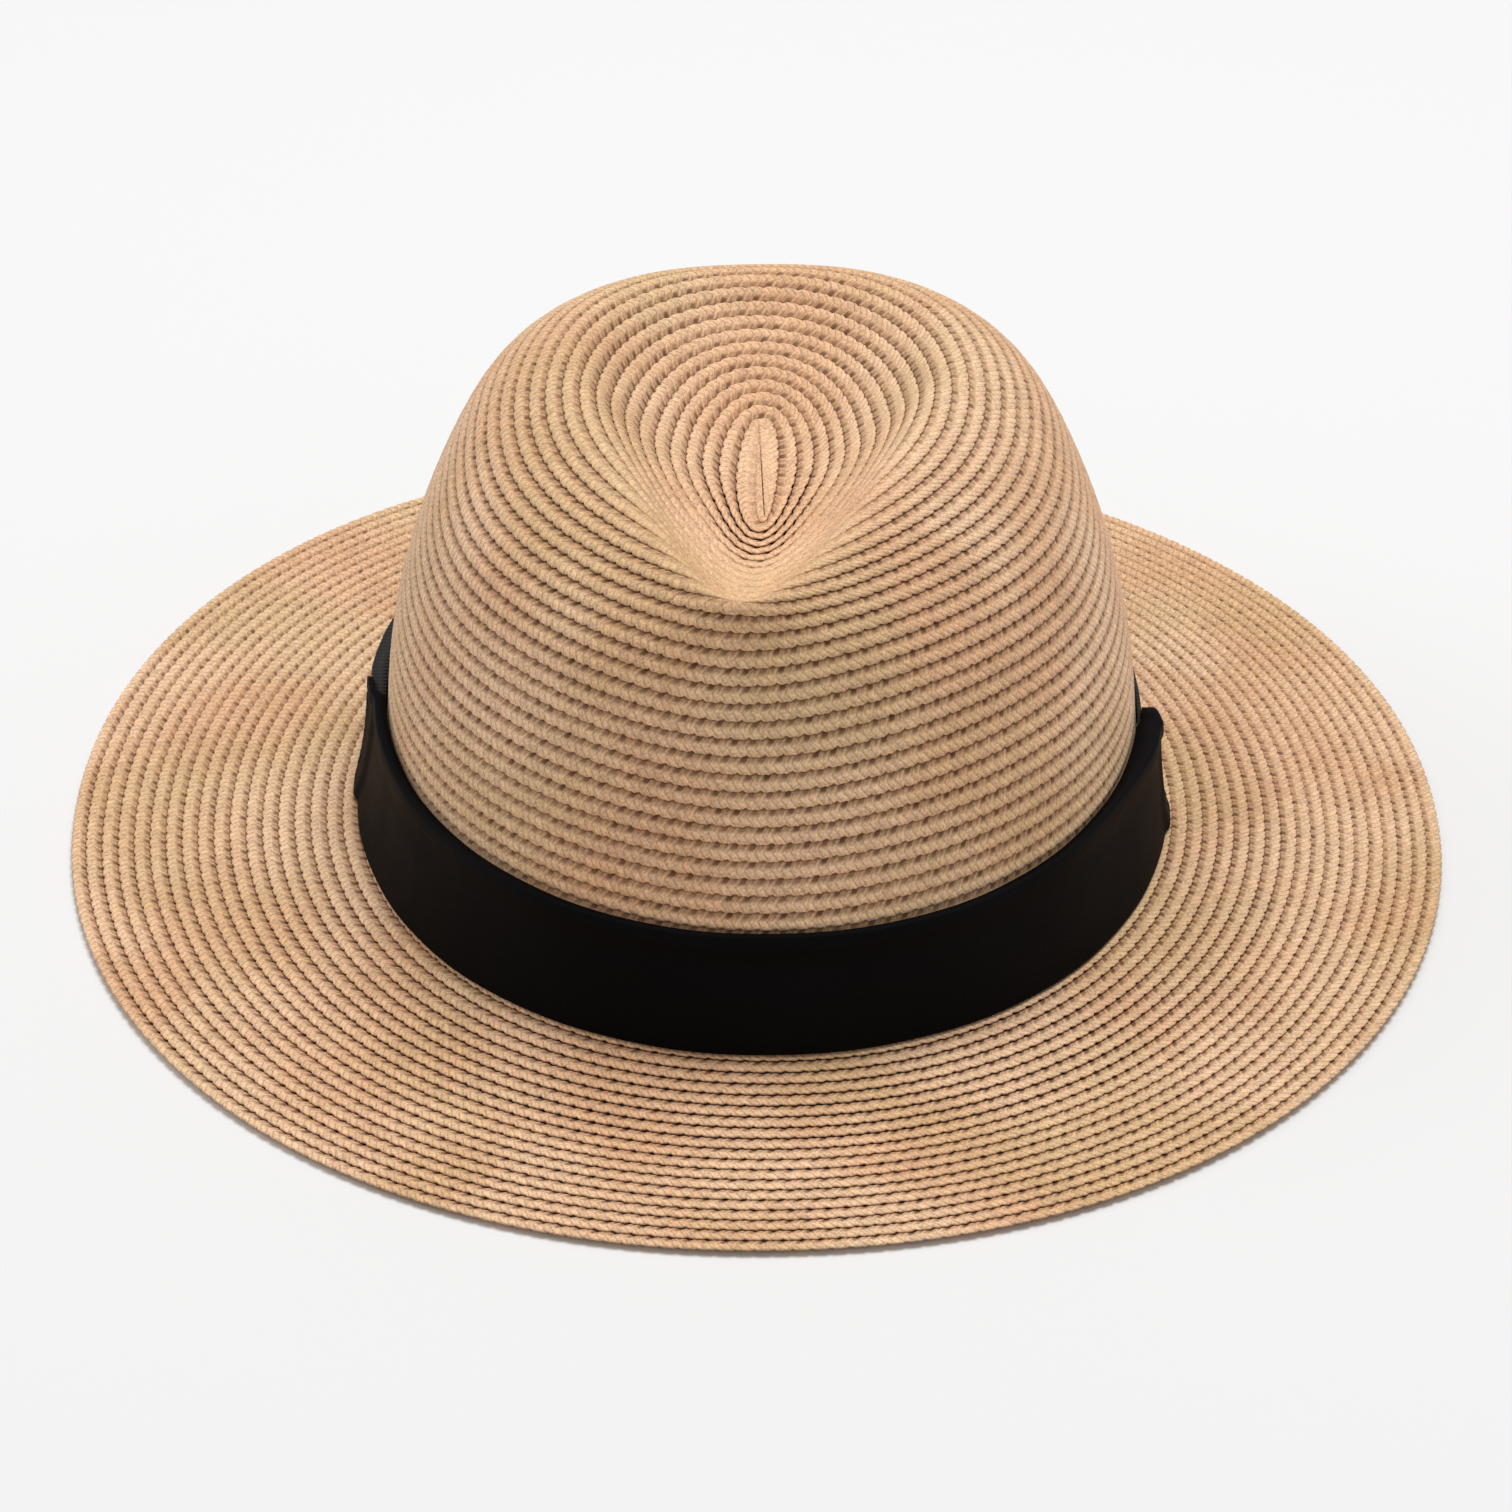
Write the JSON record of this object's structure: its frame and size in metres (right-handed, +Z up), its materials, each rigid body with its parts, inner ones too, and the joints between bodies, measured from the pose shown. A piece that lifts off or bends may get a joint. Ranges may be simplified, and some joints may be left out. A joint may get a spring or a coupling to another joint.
{
  "type": "straw sun hat",
  "caption": "Wide-brimmed sun hat of spiral-sewn straw plait with a dented teardrop crown, a plain black ribbon band and an inner sweatband.",
  "frame": {"origin": "on the table under the middle of the brim, at the lowest face of the edge row", "axes": "+Z up through the crown, -Y towards the front of the hat, +X towards the wearer's left"},
  "size_m": [0.2876, 0.326, 0.1039],
  "materials": {
    "straw": "natural tan paper-straw plait, low sheen",
    "black_ribbon": "black satin-faced ribbon, soft sheen",
    "black_elastic": "black ribbed elastic, matt",
    "thread_black": "black polyester thread",
    "sweatband_cloth": "beige twill tape, matt",
    "sweatband_tape": "beige cotton tape, matt",
    "thread_tan": "tan polyester thread",
    "label_cloth": "off-white woven satin, blank"
  },
  "bodies": {
    "hat": {"crown_tip_button": "straw", "crown_tip": "straw", "crown_side": "straw", "brim": "straw", "sweatband": "sweatband_cloth", "sweatband_sewing_thread": "thread_tan", "sweatband_join_tape": "sweatband_tape", "size_label": "label_cloth", "care_label": "label_cloth"},
    "band": {"band_front_ribbon": "black_ribbon", "band_back_elastic": "black_elastic", "band_tack_right": "thread_black", "band_tack_left": "thread_black"}
  },
  "joints": [
    {"name": "band_lift", "type": "slide", "parent": "hat", "child": "band", "axis": [0, 0, 1], "range_m": [0, 0.11]}
  ]
}
